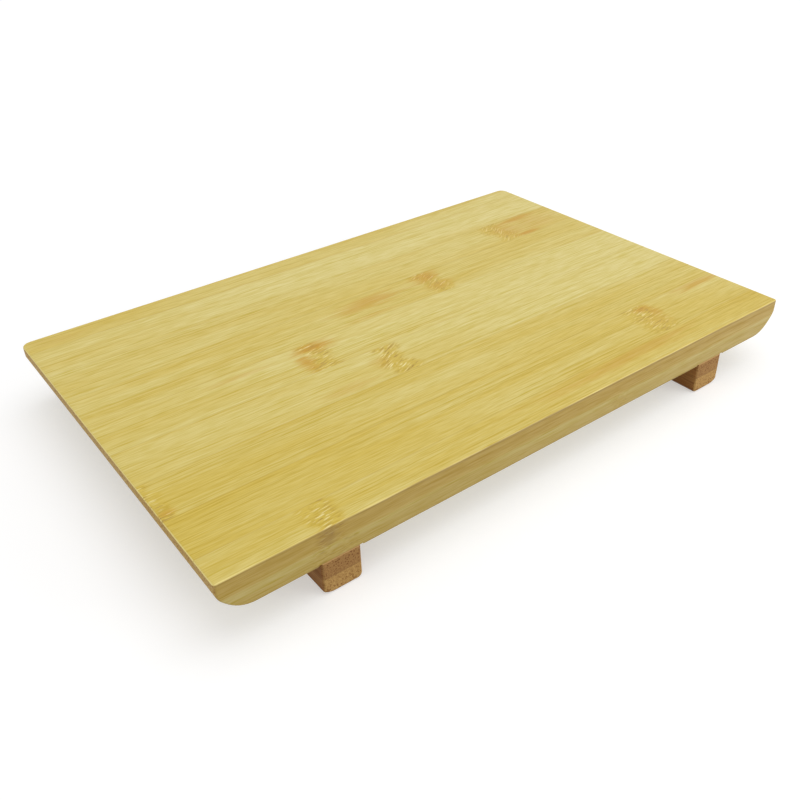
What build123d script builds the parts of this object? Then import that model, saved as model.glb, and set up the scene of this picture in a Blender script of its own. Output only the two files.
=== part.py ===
from build123d import *

import os

# A sushi geta: a plank of two layers of bamboo strips, standing on two cross feet.
# Millimetres. The origin is on the floor under the middle of the board, +X runs along
# the board, -Y is its front side and +Z is up. Strips are counted from the back edge.

# Plank
BOARD_LENGTH = 270.0
BOARD_WIDTH = 175.0
LAYER_THICKNESS = 7.05
BACK_CORNER_RADIUS = 3.8
FRONT_CORNER_RADIUS = 1.0
EDGE_EASE = 0.6

# Undercut ends: an upright lip, and below it a curve that runs in under the board
LIP_HEIGHT = 5.5
UNDERCUT_RUN = 8.8
UNDERCUT_RADIUS = 24.0
LIP_SOFTENING = 8.0
HEEL_SOFTENING = 12.0

# Bamboo strips, with part strips at the two long edges where the panel was sawn
STRIP_WIDTH = 21.45
TOP_BACK_STRIP_WIDTH = 12.0
BOTTOM_BACK_STRIP_WIDTH = 17.0
NARROWEST_STRIP = 4.0

# Feet: two strips each, let into shallow housings across the underside and sanded round below
FOOT_INSET = 35.2
FOOT_WIDTH = 15.0
FOOT_STRIP_THICKNESS = 7.1
FOOT_OUTER_ROUNDING_WIDTH = 4.4
FOOT_OUTER_ROUNDING_HEIGHT = 1.55
FOOT_OUTER_CORNER_RADIUS = 1.4
FOOT_INNER_CORNER_RADIUS = 2.0
FOOT_EDGE_EASE = 1.0
HOUSING_DEPTH = 0.8
HOUSING_CLEARANCE = 0.8
HOUSING_MOUTH_CHAMFER = 0.6

# Heights and places that follow from the sizes above
FOOT_HEIGHT = 2 * FOOT_STRIP_THICKNESS
UNDERSIDE = FOOT_HEIGHT - HOUSING_DEPTH
GLUE_LINE = UNDERSIDE + LAYER_THICKNESS
BOARD_TOP = GLUE_LINE + LAYER_THICKNESS
FOOT_CENTRE = BOARD_LENGTH / 2 - FOOT_INSET - FOOT_WIDTH / 2


def side_outline():
    """The board seen square on to a long side: flat above, curving in under both ends."""
    end = BOARD_LENGTH / 2
    heel = end - UNDERCUT_RUN
    lip = BOARD_TOP - LIP_HEIGHT
    face = make_face([
        Line((-end, BOARD_TOP), (end, BOARD_TOP)),
        Line((end, BOARD_TOP), (end, lip)),
        RadiusArc((end, lip), (heel, UNDERSIDE), UNDERCUT_RADIUS),
        Line((heel, UNDERSIDE), (-heel, UNDERSIDE)),
        RadiusArc((-heel, UNDERSIDE), (-end, lip), UNDERCUT_RADIUS),
        Line((-end, lip), (-end, BOARD_TOP)),
    ])
    face = fillet(face.vertices().group_by(Axis.Y)[1], LIP_SOFTENING)
    return fillet(face.vertices().group_by(Axis.Y)[0], HEEL_SOFTENING)


def plan_outline():
    """The board seen from above, with its back corners sanded rounder than its front ones."""
    face = Rectangle(BOARD_LENGTH, BOARD_WIDTH)
    face = fillet(face.vertices().group_by(Axis.Y)[-1], BACK_CORNER_RADIUS)
    return fillet(face.vertices().group_by(Axis.Y)[0], FRONT_CORNER_RADIUS)


def plank():
    """The whole plank, before it is parted into strips, with its sharp edges sanded off."""
    blank = extrude(Plane.XZ * side_outline(), amount=BOARD_WIDTH / 2, both=True)
    rims = blank.faces().filter_by(Axis.Y).edges()
    blank = fillet(rims.group_by(Axis.Z)[:-1], EDGE_EASE)
    blank &= extrude(plan_outline(), amount=BOARD_TOP)
    top = blank.faces().sort_by(Axis.Z)[-1]
    return fillet(top.edges(), EDGE_EASE)


def housing(x):
    """The shallow groove that takes a foot, a little wider than the foot and eased at its mouth."""
    half = FOOT_WIDTH / 2 + HOUSING_CLEARANCE
    mouth = half + HOUSING_MOUTH_CHAMFER
    section = make_face(Polyline(
        (-half, FOOT_HEIGHT),
        (half, FOOT_HEIGHT),
        (half, UNDERSIDE + HOUSING_MOUTH_CHAMFER),
        (mouth, UNDERSIDE),
        (-mouth, UNDERSIDE),
        (-half, UNDERSIDE + HOUSING_MOUTH_CHAMFER),
        close=True,
    ))
    return Pos(x, 0, 0) * extrude(Plane.XZ * section, amount=BOARD_WIDTH, both=True)


def strip_edges(back_strip_width):
    """Where a layer's strips begin and end, from the back edge to the front."""
    back = BOARD_WIDTH / 2
    front = -back
    edges = [back]
    seam = back - back_strip_width
    while seam > front + NARROWEST_STRIP:
        edges.append(seam)
        seam -= STRIP_WIDTH
    return edges + [front]


def layer_strips(layer, back_strip_width, bottom):
    """Part one layer of the plank into its strips."""
    edges = strip_edges(back_strip_width)
    strips = []
    for back, front in zip(edges, edges[1:]):
        slot = Pos(0, (back + front) / 2, bottom + LAYER_THICKNESS / 2)
        strips.append(layer & slot * Box(BOARD_LENGTH, back - front, LAYER_THICKNESS))
    return strips


def right_foot():
    """The right foot, before it is parted into its two strips. Its outer edge is sanded to a long
    low curve below, its inner edge to a small round, and its ends are eased all round."""
    inner = FOOT_CENTRE - FOOT_WIDTH / 2
    outer = FOOT_CENTRE + FOOT_WIDTH / 2
    tread = outer - FOOT_OUTER_ROUNDING_WIDTH
    section = make_face([
        Line((inner, FOOT_HEIGHT), (inner, 0)),
        Line((inner, 0), (tread, 0)),
        TangentArc((tread, 0), (outer, FOOT_OUTER_ROUNDING_HEIGHT), tangent=(1, 0)),
        Line((outer, FOOT_OUTER_ROUNDING_HEIGHT), (outer, FOOT_HEIGHT)),
        Line((outer, FOOT_HEIGHT), (inner, FOOT_HEIGHT)),
    ])
    inner_corner = section.vertices().sort_by_distance((inner, 0))[0]
    section = fillet(inner_corner, FOOT_INNER_CORNER_RADIUS)
    outer_corner = section.vertices().sort_by_distance((outer, FOOT_OUTER_ROUNDING_HEIGHT))[0]
    section = fillet(outer_corner, FOOT_OUTER_CORNER_RADIUS)
    bar = extrude(Plane.XZ * section, amount=BOARD_WIDTH / 2, both=True)
    ends = bar.faces().sort_by(Axis.Y)
    rims = ends[0].edges() + ends[-1].edges()
    return fillet(rims, FOOT_EDGE_EASE)


def foot_strip(bar, bottom):
    """The part of a foot that is one strip thick, from this height up."""
    level = Pos(0, 0, bottom + FOOT_STRIP_THICKNESS / 2)
    return bar & level * Box(BOARD_LENGTH, BOARD_WIDTH, FOOT_STRIP_THICKNESS)


def pieces():
    """Every piece of the board by its name."""
    whole = plank()
    grooved = whole - housing(-FOOT_CENTRE) - housing(FOOT_CENTRE)
    named = {}
    for i, strip in enumerate(layer_strips(whole, TOP_BACK_STRIP_WIDTH, GLUE_LINE), 1):
        named[f"top_strip_{i}"] = strip
    for i, strip in enumerate(layer_strips(grooved, BOTTOM_BACK_STRIP_WIDTH, UNDERSIDE), 1):
        named[f"bottom_strip_{i}"] = strip
    right = right_foot()
    for side, bar in (("left", mirror(right, about=Plane.YZ)), ("right", right)):
        named[f"{side}_foot_upper"] = foot_strip(bar, FOOT_STRIP_THICKNESS)
        named[f"{side}_foot_lower"] = foot_strip(bar, 0)
    return named


os.makedirs("parts", exist_ok=True)
for name, shape in pieces().items():
    export_step(shape, f"parts/{name}.step")
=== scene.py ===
from collections import namedtuple
from math import radians

import bpy
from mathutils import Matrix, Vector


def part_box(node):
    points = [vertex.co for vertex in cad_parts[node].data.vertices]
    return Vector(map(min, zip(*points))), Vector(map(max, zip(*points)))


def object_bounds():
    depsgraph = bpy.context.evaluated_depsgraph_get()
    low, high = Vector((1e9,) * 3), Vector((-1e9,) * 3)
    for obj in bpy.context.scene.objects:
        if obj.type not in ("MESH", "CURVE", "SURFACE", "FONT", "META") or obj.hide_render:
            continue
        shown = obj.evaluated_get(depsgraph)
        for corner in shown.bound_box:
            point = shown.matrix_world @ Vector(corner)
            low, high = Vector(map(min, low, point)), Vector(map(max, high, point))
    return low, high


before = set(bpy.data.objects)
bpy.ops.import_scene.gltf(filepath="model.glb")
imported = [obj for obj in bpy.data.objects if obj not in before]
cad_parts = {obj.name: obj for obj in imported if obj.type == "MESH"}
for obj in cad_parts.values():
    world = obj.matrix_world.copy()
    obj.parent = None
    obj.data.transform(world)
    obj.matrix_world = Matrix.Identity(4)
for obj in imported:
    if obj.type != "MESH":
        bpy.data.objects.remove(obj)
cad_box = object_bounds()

# Looks of a sushi geta: a plank of two layers of natural bamboo strips on two feet of carbonised
# bamboo. The pieces come from the frame, in metres. Patterns are in millimetres: along the fibres
# of a strip, across it, and through its thickness.

MM = 0.001

# Sizes of the patterns that a strip of bamboo carries. A Mapping node sets each of them, so the
# texture's own scale is 1.
BUNDLE_SIZE = (220.0, 0.9, 0.9)
FINE_FIBRE_SIZE = (9.0, 0.45, 0.45)
STREAK_SIZE = (200.0, 0.9, 0.9)
PATCH_SIZE = (80.0, 10.0, 10.0)
WANDER_SIZE = (90.0, 18.0, 18.0)

# Each strip has its own stretch of grain, as many steps off as its seed says. The strips of each layer
# and of the feet are counted on from a seed of their own.
SEED_STEP = (311.0, 47.0, 23.0)
TOP_SEED = 0
BOTTOM_SEED = 20
FOOT_SEED = 40

# Turn of the fibres from +X, in degrees: the plank's run along the board and the feet's across it
PLANK_TURN = 0.0
FOOT_TURN = 90.0

# How many finer layers a noise adds: few where a pattern is soft, more where it is ragged
SOFT = 1.0
UNEVEN = 2.0
RAGGED = 4.0

# How far fibres wander off their line, how sharply bundles and fine fibres are drawn, and how
# strongly they show. On a cut end bundles are dots, denser towards the skin.
WANDER_REACH = (0.0, 1.0, 1.0)
BUNDLE_RIM = (0.5, 0.16)
BUNDLE_SHARE = 0.42
PITH_DOT_SHARE = 0.3
SKIN_DOT_SHARE = 0.9
FINE_FIBRE_RIM = (0.3, 0.7)
FINE_FIBRE_SHARE = 0.54
FINE_FIBRE_SHARE_AT_ENDS = 0.5

# How streaks and patches add up to honey colour, and how strongly a strip's own tone leads them
STREAK_WEIGHT = 0.38
PATCH_WEIGHT = 0.6
HONEY_LEAD = 0.7
HONEY_STARTS = 0.54
HONEY_FULL = 1.1

# A knuckle, where the stem had a partition: fibres swerve and break into flecks over a wavy band
KNUCKLE_CORE = 1.5
KNUCKLE_WAVE_SIZE = (40.0, 8.0, 8.0)
KNUCKLE_WAVE = 12.0
KNUCKLE_HONEY = 0.36
SWERVE_SIZE = (7.0, 4.0, 4.0)
SWERVE_REACH = (5.0, 3.4, 3.4)
FLECK_SIZE = (4.8, 0.7, 0.7)
LIGHT_FLECKS = (0.56, 0.7)
DARK_FLECKS = (0.43, 0.3)
LIGHT_FLECK_SHARE = 0.75
DARK_FLECK_SHARE = 0.8
TURNED_FLECK_LOSS = 0.8

# Brown stains fray along the fibres
FRAY_SIZE = (22.0, 1.5, 1.5)
FRAY_ROUGHNESS = 0.65
FRAY_REACH = 2.2
STAIN_CORE = 1.15
STAIN_EDGE = 2.25

# Through its thickness a strip goes from soft pith at the layers' glue line to denser wood, which
# starts at an uneven depth. A thin dark line of painted shade runs along the outer rim of its long
# sides
PITH_DEPTH = 0.6
WOOD_DEPTH = 2.6
PITH_WAVE_SIZE = (60.0, 12.0, 12.0)
PITH_WAVE = 8.0
RIM_SHADE_DEPTH = (5.6, 6.3)
RIM_SHADE_SHARE = 0.4
SIDE_TINT = 0.85
END_TINT = 0.55

# Glue lines between strips and layers, and a highlight painted on the sanded upper edges, all along
# the ends and here and there along the sides
SEAM_WIDTH = 0.35
SEAM_SHARE = 0.28
SEAM_SHARE_AT_ENDS = 0.65
EDGE_HIGHLIGHT_BREAK_SIZE = (25.0, 8.0, 8.0)
EDGE_HIGHLIGHT_BREAKS = (0.4, 0.65)
EDGE_HIGHLIGHT_SHARE = (0.1, 0.55)
EDGE_HIGHLIGHT_SHARE_AT_ENDS = 1.0

# How far a face turns to the end, to the side, or up and out, before it counts as cut end, long side
# or sanded edge
END_FACING = (0.35, 0.85)
SIDE_FACING = (0.4, 0.9)
EDGE_FACING = (0.2, 0.5)

# Finish: how much a face shines, and how rough it is from fibre to fibre. The plank is oiled to a
# satin, the feet are bare wood, and cut ends are dull on both. Fibres stand out by a slight relief.
Finish = namedtuple("Finish", "shine roughness")
OILED = Finish(0.5, (0.4, 0.5))
BARE = Finish(0.2, (0.6, 0.7))
END_ROUGHNESS = 0.7
WOOD_IOR = 1.5
BUMP_DEPTH = 0.05
BUMP_STRENGTH = 0.15

# Camera: its place in metres and its turn in degrees in the object's own frame, and its lens and
# sensor in millimetres
CAMERA_PLACE = (-0.19425, -0.26283, 0.20821)
CAMERA_TURN = (55.9441, 1.645, -36.9589)
CAMERA_LENS = 39.483
CAMERA_SENSOR = 36.0

# Light: an even white sky, a broad soft lamp overhead, and a weak soft box low on the right, with
# places and sizes in metres and turns and the lamp's spread in degrees
SKY_COLOUR = "#FFFFFF"
SKY_STRENGTH = 0.63
LAMP_STRENGTH = 0.95
LAMP_SPREAD = 60.0
LAMP_TILT = (4.0, 14.0)
BOX_POWER = 2.0
BOX_SIZE = 0.4
BOX_PLACE = (0.42, -0.62, 0.14)
BOX_TURN = (80.0, 0.0, 34.0)

# Floor: its width in metres, its own colour and the glow that makes it white to the camera, the duller
# colour of its bounce, and the share of the sky's light that it lets through
FLOOR_WIDTH = 6.0
FLOOR_COLOUR = "#CECECE"
FLOOR_GLOW = 0.45
FLOOR_BOUNCE_COLOUR = "#B4B2AE"
FLOOR_CLEARNESS = 0.3

# Colours of one kind of bamboo: its ground, pale and honey; the filters that its fibres lay over
# that, as lines on its faces and dots on its cut ends; the flecks and stains of its knuckles; its
# glue lines; its long sides, from pith to wood, with a dark colour for painted shade along their
# outer rims and for dark marks on sides; its cut ends; and a painted highlight on sanded upper edges
Tones = namedtuple(
    "Tones", "pale honey line dot light_fleck dark_fleck stain seam pith wood skin end edge",
)
NATURAL_TOP = Tones(
    pale="#DECF86", honey="#D3B94A", line="#E1D548", dot="#C09A6A",
    light_fleck="#F1E5A6", dark_fleck="#A07A26", stain="#C49408", seam="#B89C50",
    pith="#B4984E", wood="#AE8F42", skin="#805C26", end="#CBA160", edge="#F4E492",
)
NATURAL_BOTTOM = NATURAL_TOP._replace(pith="#BAA767", wood="#B0974F", skin="#94783A")
CARBONISED = Tones(
    pale="#B98C54", honey="#A5733E", line="#B49A84", dot="#B09480",
    light_fleck="#CFA873", dark_fleck="#54351A", stain="#7A4E26", seam="#8A6438",
    pith="#AC7B43", wood="#A4713B", skin="#7C5028", end="#AC8A54", edge="#C29A62",
)
CARBONISED_LOWER = CARBONISED._replace(end="#C8A662")

# Marks on one strip: how honeyed it is at its two ends; its knuckles, each given as place along and
# reach; how strong their flecks are and how they lean, in degrees; and brown stains, each given as
# place along, place across from the strip's middle, half length, half width and depth
Marks = namedtuple("Marks", "honey knuckles flecks lean stains")
TOP_MARKS = {
    1: Marks((0.62, 0.42), [], 0, 0, [(-120, 0, 16, 4, 0.25)]),
    2: Marks((0.32, 0.25), [], 0, 0, []),
    3: Marks((0.42, 0.44), [(93, 8)], 0.55, 40, [
        (116, 0, 20, 12, 0.4), (110, 8.4, 14, 3, 0.85), (105, -8.6, 9, 2.6, 1.0), (97, 0, 10, 11, 0.5),
    ]),
    4: Marks((0.42, 0.48), [(32, 8)], 0.5, 30, [
        (33, 6, 10, 5.5, 0.95), (33, -4, 9, 5.5, 0.6), (-3, 3, 22, 5.5, 0.75), (-6, -8, 18, 2, 0.4),
    ]),
    5: Marks((0.42, 0.05), [(-44, 8)], 0.75, 15, [
        (-42, 6.5, 12, 5, 1.0), (-50, -2, 5, 10, 0.85), (-75, 6, 16, 2, 0.35),
    ]),
    6: Marks((0.48, 0.03), [(-21, 8.5)], 1.0, 25, [(-27, 1, 6, 6, 0.3), (-48, -7, 16, 3.5, 0.3)]),
    7: Marks((0.54, 0.52), [(-137, 7)], 0.8, 0, [(-132, -8, 4, 2, 0.7)]),
    8: Marks((0.70, 0.46), [(80, 10)], 0.75, 10, [
        (84, 8, 6, 3.2, 0.95), (87, 3, 4, 5, 0.65), (82, -3, 9, 7, 0.3), (122, 8.6, 20, 3.2, 0.75),
    ]),
    9: Marks((0.48, 0.76), [(-95, 7)], 0.9, 5, [(48, 2.6, 56, 4.4, 0.55), (-96, -6.4, 5, 1.2, 0.4)]),
}
BOTTOM_MARKS = {
    1: Marks((0.45, 0.40), [(-60, 8)], 0.6, 20, [(-58, 3, 8, 4, 0.6)]),
    2: Marks((0.30, 0.50), [(40, 7)], 0.8, -30, [(44, 5, 10, 3, 0.6)]),
    3: Marks((0.50, 0.30), [(-25, 8)], 0.5, 40, [(-24, -4, 8, 4, 0.7)]),
    4: Marks((0.25, 0.35), [(75, 7)], 0.7, 0, [(73, 4, 9, 4, 0.7)]),
    5: Marks((0.40, 0.60), [(-110, 8)], 0.6, 30, [(-104, 0, 12, 5, 0.6)]),
    6: Marks((0.60, 0.45), [(8, 7)], 0.9, -20, [(10, -5, 8, 3, 0.8)]),
    7: Marks((0.35, 0.25), [(108, 8)], 0.5, 35, [(104, 3, 9, 4, 0.6)]),
    8: Marks((0.45, 0.55), [(-72, 7)], 0.7, 0, [(-70, 6, 8, 3, 0.7)]),
    9: Marks((0.45, 0.30), [(-100, 5), (-91, 5), (36, 5)], 0.6, 10, [(-97, 0, 9, 4, 0.35)]),
}
FOOT_MARKS = {
    "left_foot_upper": Marks((0.85, 0.85), [(-30, 7)], 0.6, 20, [(-28, 2, 8, 3, 0.5)]),
    "left_foot_lower": Marks((0.35, 0.35), [(40, 7)], 0.6, -30, [(42, 2, 8, 3, 0.5)]),
    "right_foot_upper": Marks((0.65, 0.65), [(22, 7)], 0.6, 40, [(20, -2, 8, 3, 0.5)]),
    "right_foot_lower": Marks((0.25, 0.25), [(-48, 7)], 0.6, 0, [(-46, 1, 8, 3, 0.5)]),
}

# Where a strip lies: the turn of its fibres from +X, its half length, the middle of its width,
# the places of the glue lines at its long sides, and the height of the glue line between layers
Lie = namedtuple("Lie", "turn half_length middle seams glue")

# Places of a Mix node's inputs: how much it blends, the colours that lie under and over, and the
# numbers that it goes from and to
BLEND = 0
UNDER = 6
OVER = 7
FROM = 2
TO = 3


def linear(colour):
    """An sRGB hex colour as linear red, green, blue and alpha."""
    shares = [int(colour[i:i + 2], 16) / 255 for i in (1, 3, 5)]
    return [s / 12.92 if s <= 0.04045 else ((s + 0.055) / 1.055) ** 2.4 for s in shares] + [1.0]


def add(tree, kind, inputs=None, **settings):
    """Add a node with its settings. An input is a value, a socket, or a node for its first output."""
    node = tree.nodes.new(kind)
    for name, value in settings.items():
        setattr(node, name, value)
    for name, value in (inputs or {}).items():
        if isinstance(value, bpy.types.Node):
            value = next(out for out in value.outputs if out.enabled)
        if isinstance(value, bpy.types.NodeSocket):
            tree.links.new(value, node.inputs[name])
        else:
            node.inputs[name].default_value = value
    return node


def bamboo(name, tones, finish, marks, lie, seed):
    """Flat-pressed bamboo strip, sanded: a straw or brown ground with fine fibre lines that run the
    strip's length, flecked knuckles, dots of cut fibre on the ends, and the sheen of its finish."""
    material = bpy.data.materials.new(name)
    material.use_nodes = True
    tree = material.node_tree
    tree.nodes.clear()

    # A point in millimetres, the way that its face turns, and the point in the strip's own grain
    place = add(tree, "ShaderNodeTexCoord")
    turn = (0, 0, radians(lie.turn))
    spot = add(tree, "ShaderNodeMapping", {
        "Vector": place.outputs["Object"], "Rotation": turn, "Scale": [MM] * 3,
    }, vector_type="TEXTURE")
    facing = add(tree, "ShaderNodeMapping", {"Vector": place.outputs["Normal"], "Rotation": turn},
                 vector_type="TEXTURE")
    own = add(tree, "ShaderNodeVectorMath", {0: spot, 1: [seed * step for step in SEED_STEP]},
              operation="ADD")
    spot = add(tree, "ShaderNodeSeparateXYZ", {0: spot})

    knuckle = knuckle_mask(tree, own, spot, marks)
    bend = fibre_bend(tree, own, knuckle)
    fibre = add(tree, "ShaderNodeVectorMath", {0: own, 1: bend}, operation="ADD")
    depth = bent_depth(tree, spot, bend, lie)
    end, side, edge = face_masks(tree, facing)
    bundle, fine = fibre_masks(tree, fibre)

    colour = ground(tree, fibre, spot, knuckle, tones, marks, lie)
    # Long sides, with painted shade along their outer rims
    colour = side_tinted(tree, colour, own, depth, side, tones)
    colour = end_tinted(tree, colour, end, tones)
    colour = lined(tree, colour, bundle, fine, depth, end, tones)
    # A highlight painted along the upper edges
    colour = edge_highlighted(tree, colour, own, end, edge, tones)
    colour = stained(tree, colour, own, spot, side, tones, marks, lie)
    colour, fleck = flecked(tree, colour, own, knuckle, end, side, tones, marks)
    colour, seam = seamed(tree, colour, spot, end, tones, lie)

    relief = add(tree, "ShaderNodeMath", {0: bundle, 1: fine}, operation="ADD")
    relief = add(tree, "ShaderNodeMath", {0: relief, 1: fleck}, operation="ADD")
    relief = add(tree, "ShaderNodeMath", {0: relief, 1: seam}, operation="SUBTRACT")
    bump = add(tree, "ShaderNodeBump", {
        "Strength": BUMP_STRENGTH, "Distance": BUMP_DEPTH * MM, "Height": relief,
    })
    satin = add(tree, "ShaderNodeMapRange", {
        "Value": fine, "To Min": finish.roughness[0], "To Max": finish.roughness[1],
    })
    rough = add(tree, "ShaderNodeMix", {BLEND: end, FROM: satin, TO: END_ROUGHNESS})
    surface = add(tree, "ShaderNodeBsdfPrincipled", {
        "Base Color": colour, "Roughness": rough, "Normal": bump, "IOR": WOOD_IOR,
        "Specular IOR Level": finish.shine,
    })
    add(tree, "ShaderNodeOutputMaterial", {"Surface": surface})
    return material


def knuckle_mask(tree, own, spot, marks):
    """1 at the middle of each knuckle, falling to 0 past its wavy edges. It is 0 where there is none."""
    wave = add(tree, "ShaderNodeMapping", {"Vector": own, "Scale": KNUCKLE_WAVE_SIZE},
               vector_type="TEXTURE")
    wave = add(tree, "ShaderNodeTexNoise", {"Vector": wave, "Scale": 1.0, "Detail": UNEVEN})
    wavy = add(tree, "ShaderNodeMath", {0: wave, 1: KNUCKLE_WAVE, 2: spot.outputs["X"]},
               operation="MULTIPLY_ADD")
    mask = 0.0
    for along, reach in marks.knuckles:
        off = add(tree, "ShaderNodeMath", {0: wavy, 1: along + KNUCKLE_WAVE / 2}, operation="SUBTRACT")
        off = add(tree, "ShaderNodeMath", {0: off}, operation="ABSOLUTE")
        here = add(tree, "ShaderNodeMapRange", {
            "Value": off, "From Min": reach, "From Max": KNUCKLE_CORE,
        }, interpolation_type="SMOOTHSTEP")
        mask = add(tree, "ShaderNodeMath", {0: mask, 1: here}, operation="MAXIMUM")
    return mask


def fibre_bend(tree, own, knuckle):
    """How far fibres bend off their line: they wander a little, and swerve at a knuckle."""
    wander = add(tree, "ShaderNodeMapping", {"Vector": own, "Scale": WANDER_SIZE}, vector_type="TEXTURE")
    wander = add(tree, "ShaderNodeTexNoise", {"Vector": wander, "Scale": 1.0, "Detail": SOFT})
    wander = add(tree, "ShaderNodeVectorMath", {
        0: wander.outputs["Color"], 1: WANDER_REACH, 2: [-reach / 2 for reach in WANDER_REACH],
    }, operation="MULTIPLY_ADD")
    swerve = add(tree, "ShaderNodeMapping", {"Vector": own, "Scale": SWERVE_SIZE}, vector_type="TEXTURE")
    swerve = add(tree, "ShaderNodeTexNoise", {"Vector": swerve, "Scale": 1.0, "Detail": UNEVEN})
    swerve = add(tree, "ShaderNodeVectorMath", {
        0: swerve.outputs["Color"], 1: SWERVE_REACH, 2: [-reach / 2 for reach in SWERVE_REACH],
    }, operation="MULTIPLY_ADD")
    swerve = add(tree, "ShaderNodeVectorMath", {0: swerve, "Scale": knuckle}, operation="SCALE")
    return add(tree, "ShaderNodeVectorMath", {0: wander, 1: swerve}, operation="ADD")


def bent_depth(tree, spot, bend, lie):
    """How deep in its strip a point lies, from the glue line between layers, as bent as its fibres."""
    depth = add(tree, "ShaderNodeMath", {0: spot.outputs["Z"], 1: lie.glue}, operation="SUBTRACT")
    depth = add(tree, "ShaderNodeMath", {0: depth}, operation="ABSOLUTE")
    bend = add(tree, "ShaderNodeSeparateXYZ", {0: bend})
    return add(tree, "ShaderNodeMath", {0: depth, 1: bend.outputs["Z"]}, operation="ADD")


def face_masks(tree, facing):
    """1 on the cut ends, on the long sides, and on the sanded upper edges."""
    unsigned = add(tree, "ShaderNodeVectorMath", {0: facing}, operation="ABSOLUTE")
    unsigned = add(tree, "ShaderNodeSeparateXYZ", {0: unsigned})
    end = add(tree, "ShaderNodeMapRange", {
        "Value": unsigned.outputs["X"], "From Min": END_FACING[0], "From Max": END_FACING[1],
    }, interpolation_type="SMOOTHSTEP")
    side = add(tree, "ShaderNodeMapRange", {
        "Value": unsigned.outputs["Y"], "From Min": SIDE_FACING[0], "From Max": SIDE_FACING[1],
    }, interpolation_type="SMOOTHSTEP")
    upward = add(tree, "ShaderNodeSeparateXYZ", {0: facing})
    outward = add(tree, "ShaderNodeMath", {0: unsigned.outputs["X"], 1: unsigned.outputs["Y"]},
                  operation="MAXIMUM")
    edge = add(tree, "ShaderNodeMath", {0: upward.outputs["Z"], 1: outward}, operation="MULTIPLY")
    edge = add(tree, "ShaderNodeMapRange", {
        "Value": edge, "From Min": EDGE_FACING[0], "From Max": EDGE_FACING[1],
    }, interpolation_type="SMOOTHSTEP")
    return end, side, edge


def fibre_masks(tree, fibre):
    """Fibre bundles, which are lines along the strip and dots on its ends, and fine fibres."""
    bundle = add(tree, "ShaderNodeMapping", {"Vector": fibre, "Scale": BUNDLE_SIZE},
                 vector_type="TEXTURE")
    bundle = add(tree, "ShaderNodeTexVoronoi", {"Vector": bundle, "Scale": 1.0})
    bundle = add(tree, "ShaderNodeMapRange", {
        "Value": bundle, "From Min": BUNDLE_RIM[0], "From Max": BUNDLE_RIM[1],
    }, interpolation_type="SMOOTHSTEP")
    fine = add(tree, "ShaderNodeMapping", {"Vector": fibre, "Scale": FINE_FIBRE_SIZE},
               vector_type="TEXTURE")
    fine = add(tree, "ShaderNodeTexNoise", {"Vector": fine, "Scale": 1.0, "Detail": UNEVEN})
    fine = add(tree, "ShaderNodeMapRange", {
        "Value": fine, "From Min": FINE_FIBRE_RIM[0], "From Max": FINE_FIBRE_RIM[1],
    }, interpolation_type="SMOOTHSTEP")
    return bundle, fine


def ground(tree, fibre, spot, knuckle, tones, marks, lie):
    """Pale wood with streaks and patches of honey, which gather as the strip's own tone asks."""
    streak = add(tree, "ShaderNodeMapping", {"Vector": fibre, "Scale": STREAK_SIZE},
                 vector_type="TEXTURE")
    streak = add(tree, "ShaderNodeTexNoise", {"Vector": streak, "Scale": 1.0, "Detail": RAGGED})
    patch = add(tree, "ShaderNodeMapping", {"Vector": fibre, "Scale": PATCH_SIZE}, vector_type="TEXTURE")
    patch = add(tree, "ShaderNodeTexNoise", {"Vector": patch, "Scale": 1.0, "Detail": SOFT})
    patch = add(tree, "ShaderNodeMath", {0: patch, 1: PATCH_WEIGHT}, operation="MULTIPLY")
    mottle = add(tree, "ShaderNodeMath", {0: streak, 1: STREAK_WEIGHT, 2: patch},
                 operation="MULTIPLY_ADD")
    lead = add(tree, "ShaderNodeMapRange", {
        "Value": spot.outputs["X"], "From Min": -lie.half_length, "From Max": lie.half_length,
        "To Min": HONEY_LEAD * marks.honey[0], "To Max": HONEY_LEAD * marks.honey[1],
    })
    mottle = add(tree, "ShaderNodeMath", {0: mottle, 1: lead}, operation="ADD")
    mottle = add(tree, "ShaderNodeMath", {0: knuckle, 1: KNUCKLE_HONEY, 2: mottle},
                 operation="MULTIPLY_ADD")
    honey = add(tree, "ShaderNodeMapRange", {
        "Value": mottle, "From Min": HONEY_STARTS, "From Max": HONEY_FULL,
    }, interpolation_type="SMOOTHSTEP")
    return add(tree, "ShaderNodeMix", {
        BLEND: honey, UNDER: linear(tones.pale), OVER: linear(tones.honey),
    }, data_type="RGBA")


def side_tinted(tree, colour, own, depth, side, tones):
    """Tint the long sides, from pith to wood, with a thin line of painted shade along their outer rim."""
    wave = add(tree, "ShaderNodeMapping", {"Vector": own, "Scale": PITH_WAVE_SIZE}, vector_type="TEXTURE")
    wave = add(tree, "ShaderNodeTexNoise", {"Vector": wave, "Scale": 1.0, "Detail": UNEVEN})
    wavy = add(tree, "ShaderNodeMath", {0: wave, 1: PITH_WAVE, 2: depth}, operation="MULTIPLY_ADD")
    share = add(tree, "ShaderNodeMapRange", {
        "Value": wavy, "From Min": PITH_DEPTH + PITH_WAVE / 2, "From Max": WOOD_DEPTH + PITH_WAVE / 2,
    }, interpolation_type="SMOOTHSTEP")
    flank = add(tree, "ShaderNodeMix", {
        BLEND: share, UNDER: linear(tones.pith), OVER: linear(tones.wood),
    }, data_type="RGBA")
    share = add(tree, "ShaderNodeMapRange", {
        "Value": depth, "From Min": RIM_SHADE_DEPTH[0], "From Max": RIM_SHADE_DEPTH[1], "To Max": RIM_SHADE_SHARE,
    }, interpolation_type="SMOOTHSTEP")
    flank = add(tree, "ShaderNodeMix", {
        BLEND: share, UNDER: flank, OVER: linear(tones.skin),
    }, data_type="RGBA")
    share = add(tree, "ShaderNodeMath", {0: side, 1: SIDE_TINT}, operation="MULTIPLY")
    return add(tree, "ShaderNodeMix", {BLEND: share, UNDER: colour, OVER: flank}, data_type="RGBA")


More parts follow.
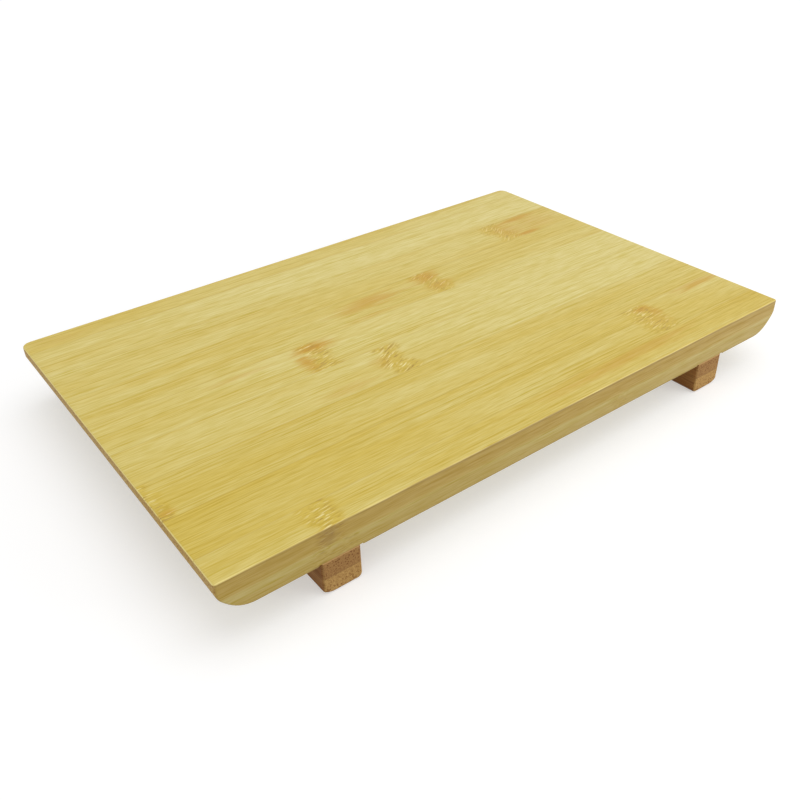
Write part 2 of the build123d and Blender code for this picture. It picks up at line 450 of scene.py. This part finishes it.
def end_tinted(tree, colour, end, tones):
    """Tint the cut ends."""
    share = add(tree, "ShaderNodeMath", {0: end, 1: END_TINT}, operation="MULTIPLY")
    return add(tree, "ShaderNodeMix", {
        BLEND: share, UNDER: colour, OVER: linear(tones.end),
    }, data_type="RGBA")


def edge_highlighted(tree, colour, own, end, edge, tones):
    """Paint a highlight on the upper edges: all along the ends, and here and there along the sides."""
    highlit = add(tree, "ShaderNodeMapping", {"Vector": own, "Scale": EDGE_HIGHLIGHT_BREAK_SIZE}, vector_type="TEXTURE")
    highlit = add(tree, "ShaderNodeTexNoise", {"Vector": highlit, "Scale": 1.0, "Detail": UNEVEN})
    highlit = add(tree, "ShaderNodeMapRange", {
        "Value": highlit, "From Min": EDGE_HIGHLIGHT_BREAKS[0], "From Max": EDGE_HIGHLIGHT_BREAKS[1],
        "To Min": EDGE_HIGHLIGHT_SHARE[0], "To Max": EDGE_HIGHLIGHT_SHARE[1],
    })
    highlit = add(tree, "ShaderNodeMix", {BLEND: end, FROM: highlit, TO: EDGE_HIGHLIGHT_SHARE_AT_ENDS})
    share = add(tree, "ShaderNodeMath", {0: edge, 1: highlit}, operation="MULTIPLY")
    return add(tree, "ShaderNodeMix", {
        BLEND: share, UNDER: colour, OVER: linear(tones.edge),
    }, data_type="RGBA")


def lined(tree, colour, bundle, fine, depth, end, tones):
    """Draw the fine fibres, and the fibre bundles, which on a cut end are dots that gather with depth."""
    dot_share = add(tree, "ShaderNodeMapRange", {
        "Value": depth, "From Max": RIM_SHADE_DEPTH[0], "To Min": PITH_DOT_SHARE, "To Max": SKIN_DOT_SHARE,
    })
    bundle_share = add(tree, "ShaderNodeMix", {BLEND: end, FROM: BUNDLE_SHARE, TO: dot_share})
    fine_share = add(tree, "ShaderNodeMapRange", {
        "Value": end, "To Min": FINE_FIBRE_SHARE, "To Max": FINE_FIBRE_SHARE_AT_ENDS,
    })
    share = add(tree, "ShaderNodeMath", {0: bundle, 1: bundle_share}, operation="MULTIPLY")
    share = add(tree, "ShaderNodeMath", {0: fine, 1: fine_share, 2: share}, operation="MULTIPLY_ADD")
    tint = add(tree, "ShaderNodeMix", {
        BLEND: end, UNDER: linear(tones.line), OVER: linear(tones.dot),
    }, data_type="RGBA")
    return add(tree, "ShaderNodeMix", {BLEND: share, UNDER: colour, OVER: tint},
               data_type="RGBA", blend_type="MULTIPLY")


def stained(tree, colour, own, spot, side, tones, marks, lie):
    """Lay the strip's brown stains over its colour, frayed along the fibres, and darker on sides."""
    shade = add(tree, "ShaderNodeMix", {
        BLEND: side, UNDER: linear(tones.stain), OVER: linear(tones.skin),
    }, data_type="RGBA")
    fray = add(tree, "ShaderNodeMapping", {"Vector": own, "Scale": FRAY_SIZE}, vector_type="TEXTURE")
    fray = add(tree, "ShaderNodeTexNoise", {
        "Vector": fray, "Scale": 1.0, "Detail": RAGGED, "Roughness": FRAY_ROUGHNESS,
    })
    for along, across, half_length, half_width, depth in marks.stains:
        off_along = add(tree, "ShaderNodeMath", {
            0: spot.outputs["X"], 1: 1 / half_length, 2: -along / half_length,
        }, operation="MULTIPLY_ADD")
        off_across = add(tree, "ShaderNodeMath", {
            0: spot.outputs["Y"], 1: 1 / half_width, 2: -(lie.middle + across) / half_width,
        }, operation="MULTIPLY_ADD")
        off = add(tree, "ShaderNodeCombineXYZ", {"X": off_along, "Y": off_across})
        off = add(tree, "ShaderNodeVectorMath", {0: off}, operation="LENGTH")
        off = add(tree, "ShaderNodeMath", {0: fray, 1: FRAY_REACH, 2: off}, operation="MULTIPLY_ADD")
        share = add(tree, "ShaderNodeMapRange", {
            "Value": off, "From Min": STAIN_EDGE, "From Max": STAIN_CORE, "To Max": depth,
        }, interpolation_type="SMOOTHSTEP")
        colour = add(tree, "ShaderNodeMix", {BLEND: share, UNDER: colour, OVER: shade}, data_type="RGBA")
    return colour


def flecked(tree, colour, own, knuckle, end, side, tones, marks):
    """Scatter light and dark flecks over the knuckles. On sides and ends the light ones are faint, and
    on sides the dark ones take the dark colour of the painted rim shade. Also returns their relief."""
    turned = add(tree, "ShaderNodeMath", {0: end, 1: side}, operation="MAXIMUM")
    flat = add(tree, "ShaderNodeMapRange", {
        "Value": turned, "To Min": 1.0, "To Max": 1.0 - TURNED_FLECK_LOSS,
    })
    fleck = add(tree, "ShaderNodeMapping", {
        "Vector": own, "Rotation": (0, 0, radians(marks.lean)), "Scale": FLECK_SIZE,
    }, vector_type="TEXTURE")
    fleck = add(tree, "ShaderNodeTexNoise", {"Vector": fleck, "Scale": 1.0, "Detail": SOFT})
    light = add(tree, "ShaderNodeMapRange", {
        "Value": fleck, "From Min": LIGHT_FLECKS[0], "From Max": LIGHT_FLECKS[1],
        "To Max": LIGHT_FLECK_SHARE * marks.flecks,
    }, interpolation_type="SMOOTHSTEP")
    light = add(tree, "ShaderNodeMath", {0: light, 1: knuckle}, operation="MULTIPLY")
    light = add(tree, "ShaderNodeMath", {0: light, 1: flat}, operation="MULTIPLY")
    dark = add(tree, "ShaderNodeMapRange", {
        "Value": fleck, "From Min": DARK_FLECKS[0], "From Max": DARK_FLECKS[1],
        "To Max": DARK_FLECK_SHARE * marks.flecks,
    }, interpolation_type="SMOOTHSTEP")
    dark = add(tree, "ShaderNodeMath", {0: dark, 1: knuckle}, operation="MULTIPLY")
    colour = add(tree, "ShaderNodeMix", {
        BLEND: light, UNDER: colour, OVER: linear(tones.light_fleck),
    }, data_type="RGBA")
    shade = add(tree, "ShaderNodeMix", {
        BLEND: side, UNDER: linear(tones.dark_fleck), OVER: linear(tones.skin),
    }, data_type="RGBA")
    colour = add(tree, "ShaderNodeMix", {BLEND: dark, UNDER: colour, OVER: shade}, data_type="RGBA")
    return colour, add(tree, "ShaderNodeMath", {0: light, 1: dark}, operation="SUBTRACT")


def seamed(tree, colour, spot, end, tones, lie):
    """Shade the glue lines at the strip's long sides and between the layers; also returns their mask."""
    seam = 0.0
    lines = [("Y", place) for place in lie.seams] + [("Z", lie.glue)]
    for axis, place in lines:
        off = add(tree, "ShaderNodeMath", {0: spot.outputs[axis], 1: place}, operation="SUBTRACT")
        off = add(tree, "ShaderNodeMath", {0: off}, operation="ABSOLUTE")
        here = add(tree, "ShaderNodeMapRange", {"Value": off, "From Min": SEAM_WIDTH, "From Max": 0.0},
                   interpolation_type="SMOOTHSTEP")
        seam = add(tree, "ShaderNodeMath", {0: seam, 1: here}, operation="MAXIMUM")
    share = add(tree, "ShaderNodeMix", {BLEND: end, FROM: SEAM_SHARE, TO: SEAM_SHARE_AT_ENDS})
    share = add(tree, "ShaderNodeMath", {0: seam, 1: share}, operation="MULTIPLY")
    colour = add(tree, "ShaderNodeMix", {
        BLEND: share, UNDER: colour, OVER: linear(tones.seam),
    }, data_type="RGBA")
    return colour, seam


def dress(node, material):
    """Give a piece of the frame its material."""
    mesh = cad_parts[node].data
    mesh.materials.clear()
    mesh.materials.append(material)


def dress_layer(layer, tones, all_marks, glue, seed):
    """Dress a layer's strips, each with its own marks and its own stretch of grain."""
    half_length = cad_box[1][0] / MM
    board_edge = cad_box[1][1] / MM
    for number, marks in all_marks.items():
        node = f"{layer}_strip_{number}"
        low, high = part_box(node)
        sides = (low[1] / MM, high[1] / MM)
        seams = [place for place in sides if abs(place) < board_edge - SEAM_WIDTH]
        lie = Lie(PLANK_TURN, half_length, sum(sides) / 2, seams, glue)
        dress(node, bamboo(f"natural_bamboo_{node}", tones, OILED, marks, lie, seed + number))


def dress_feet():
    """Dress the feet's strips. Their fibres run along +Y, with -X across them."""
    half_length = cad_box[1][1] / MM
    for seed, (node, marks) in enumerate(FOOT_MARKS.items(), FOOT_SEED + 1):
        low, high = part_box(node)
        middle = -(low[0] + high[0]) / 2 / MM
        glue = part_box(node.replace("lower", "upper"))[0][2] / MM
        lie = Lie(FOOT_TURN, half_length, middle, [], glue)
        tones = CARBONISED_LOWER if "lower" in node else CARBONISED
        dress(node, bamboo(f"carbonised_bamboo_{node}", tones, BARE, marks, lie, seed))


def seen_straight(tree):
    """1 for light that reaches the camera straight, by a mirror or through glass, and 0 for the rest."""
    path = add(tree, "ShaderNodeLightPath")
    straight = add(tree, "ShaderNodeMath", {
        0: path.outputs["Is Camera Ray"], 1: path.outputs["Is Glossy Ray"],
    }, operation="MAXIMUM")
    return add(tree, "ShaderNodeMath", {0: straight, 1: path.outputs["Is Transmission Ray"]},
               operation="MAXIMUM")


def floor():
    """A plain white floor that keeps the object's shadow. Light that bounces off it is duller than
    what the camera sees, some of the sky shines up through it, as through a light table, and it is
    clear from below, for looking at the underside."""
    bpy.ops.object.select_all(action="DESELECT")
    bpy.ops.mesh.primitive_plane_add(size=FLOOR_WIDTH)
    plane = bpy.context.object
    plane.name = "floor"
    material = bpy.data.materials.new("matt_white_floor")
    material.use_nodes = True
    tree = material.node_tree
    tree.nodes.clear()
    white = add(tree, "ShaderNodeBsdfDiffuse", {"Color": linear(FLOOR_COLOUR)})
    glow = add(tree, "ShaderNodeEmission", {"Strength": FLOOR_GLOW})
    seen = add(tree, "ShaderNodeAddShader", {0: white, 1: glow})
    bounced = add(tree, "ShaderNodeBsdfDiffuse", {"Color": linear(FLOOR_BOUNCE_COLOUR)})
    clear = add(tree, "ShaderNodeBsdfTransparent")
    unseen = add(tree, "ShaderNodeMixShader", {0: FLOOR_CLEARNESS, 1: bounced, 2: clear})
    top = add(tree, "ShaderNodeMixShader", {0: seen_straight(tree), 1: unseen, 2: seen})
    sides = add(tree, "ShaderNodeNewGeometry")
    both = add(tree, "ShaderNodeMixShader", {0: sides.outputs["Backfacing"], 1: top, 2: clear})
    add(tree, "ShaderNodeOutputMaterial", {"Surface": both})
    plane.data.materials.append(material)


def light():
    """An even sky, white to the eye, a broad soft lamp overhead, and a soft box on the right."""
    scene = bpy.context.scene
    scene.world = bpy.data.worlds.new("studio")
    scene.world.use_nodes = True
    tree = scene.world.node_tree
    tree.nodes.clear()
    strength = add(tree, "ShaderNodeMapRange", {"Value": seen_straight(tree), "To Min": SKY_STRENGTH})
    sky = add(tree, "ShaderNodeBackground", {"Color": linear(SKY_COLOUR), "Strength": strength})
    add(tree, "ShaderNodeOutputWorld", {"Surface": sky})
    lamp = bpy.data.objects.new("overhead_lamp", bpy.data.lights.new("overhead_lamp", "SUN"))
    lamp.data.energy = LAMP_STRENGTH
    lamp.data.angle = radians(LAMP_SPREAD)
    lamp.rotation_euler = (radians(LAMP_TILT[0]), radians(LAMP_TILT[1]), 0)
    scene.collection.objects.link(lamp)
    box = bpy.data.objects.new("soft_box", bpy.data.lights.new("soft_box", "AREA"))
    box.data.energy = BOX_POWER
    box.data.size = BOX_SIZE
    box.location = BOX_PLACE
    box.rotation_euler = [radians(turn) for turn in BOX_TURN]
    scene.collection.objects.link(box)


def camera():
    """The photograph's point of view."""
    eye = bpy.data.objects.new("camera", bpy.data.cameras.new("camera"))
    eye.location = CAMERA_PLACE
    eye.rotation_euler = [radians(turn) for turn in CAMERA_TURN]
    eye.data.lens = CAMERA_LENS
    eye.data.sensor_width = CAMERA_SENSOR
    bpy.context.scene.collection.objects.link(eye)
    bpy.context.scene.camera = eye


glue_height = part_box("top_strip_1")[0][2] / MM
dress_layer("top", NATURAL_TOP, TOP_MARKS, glue_height, TOP_SEED)
dress_layer("bottom", NATURAL_BOTTOM, BOTTOM_MARKS, glue_height, BOTTOM_SEED)
dress_feet()
floor()
light()
camera()
bpy.context.scene.view_settings.view_transform = "Standard"
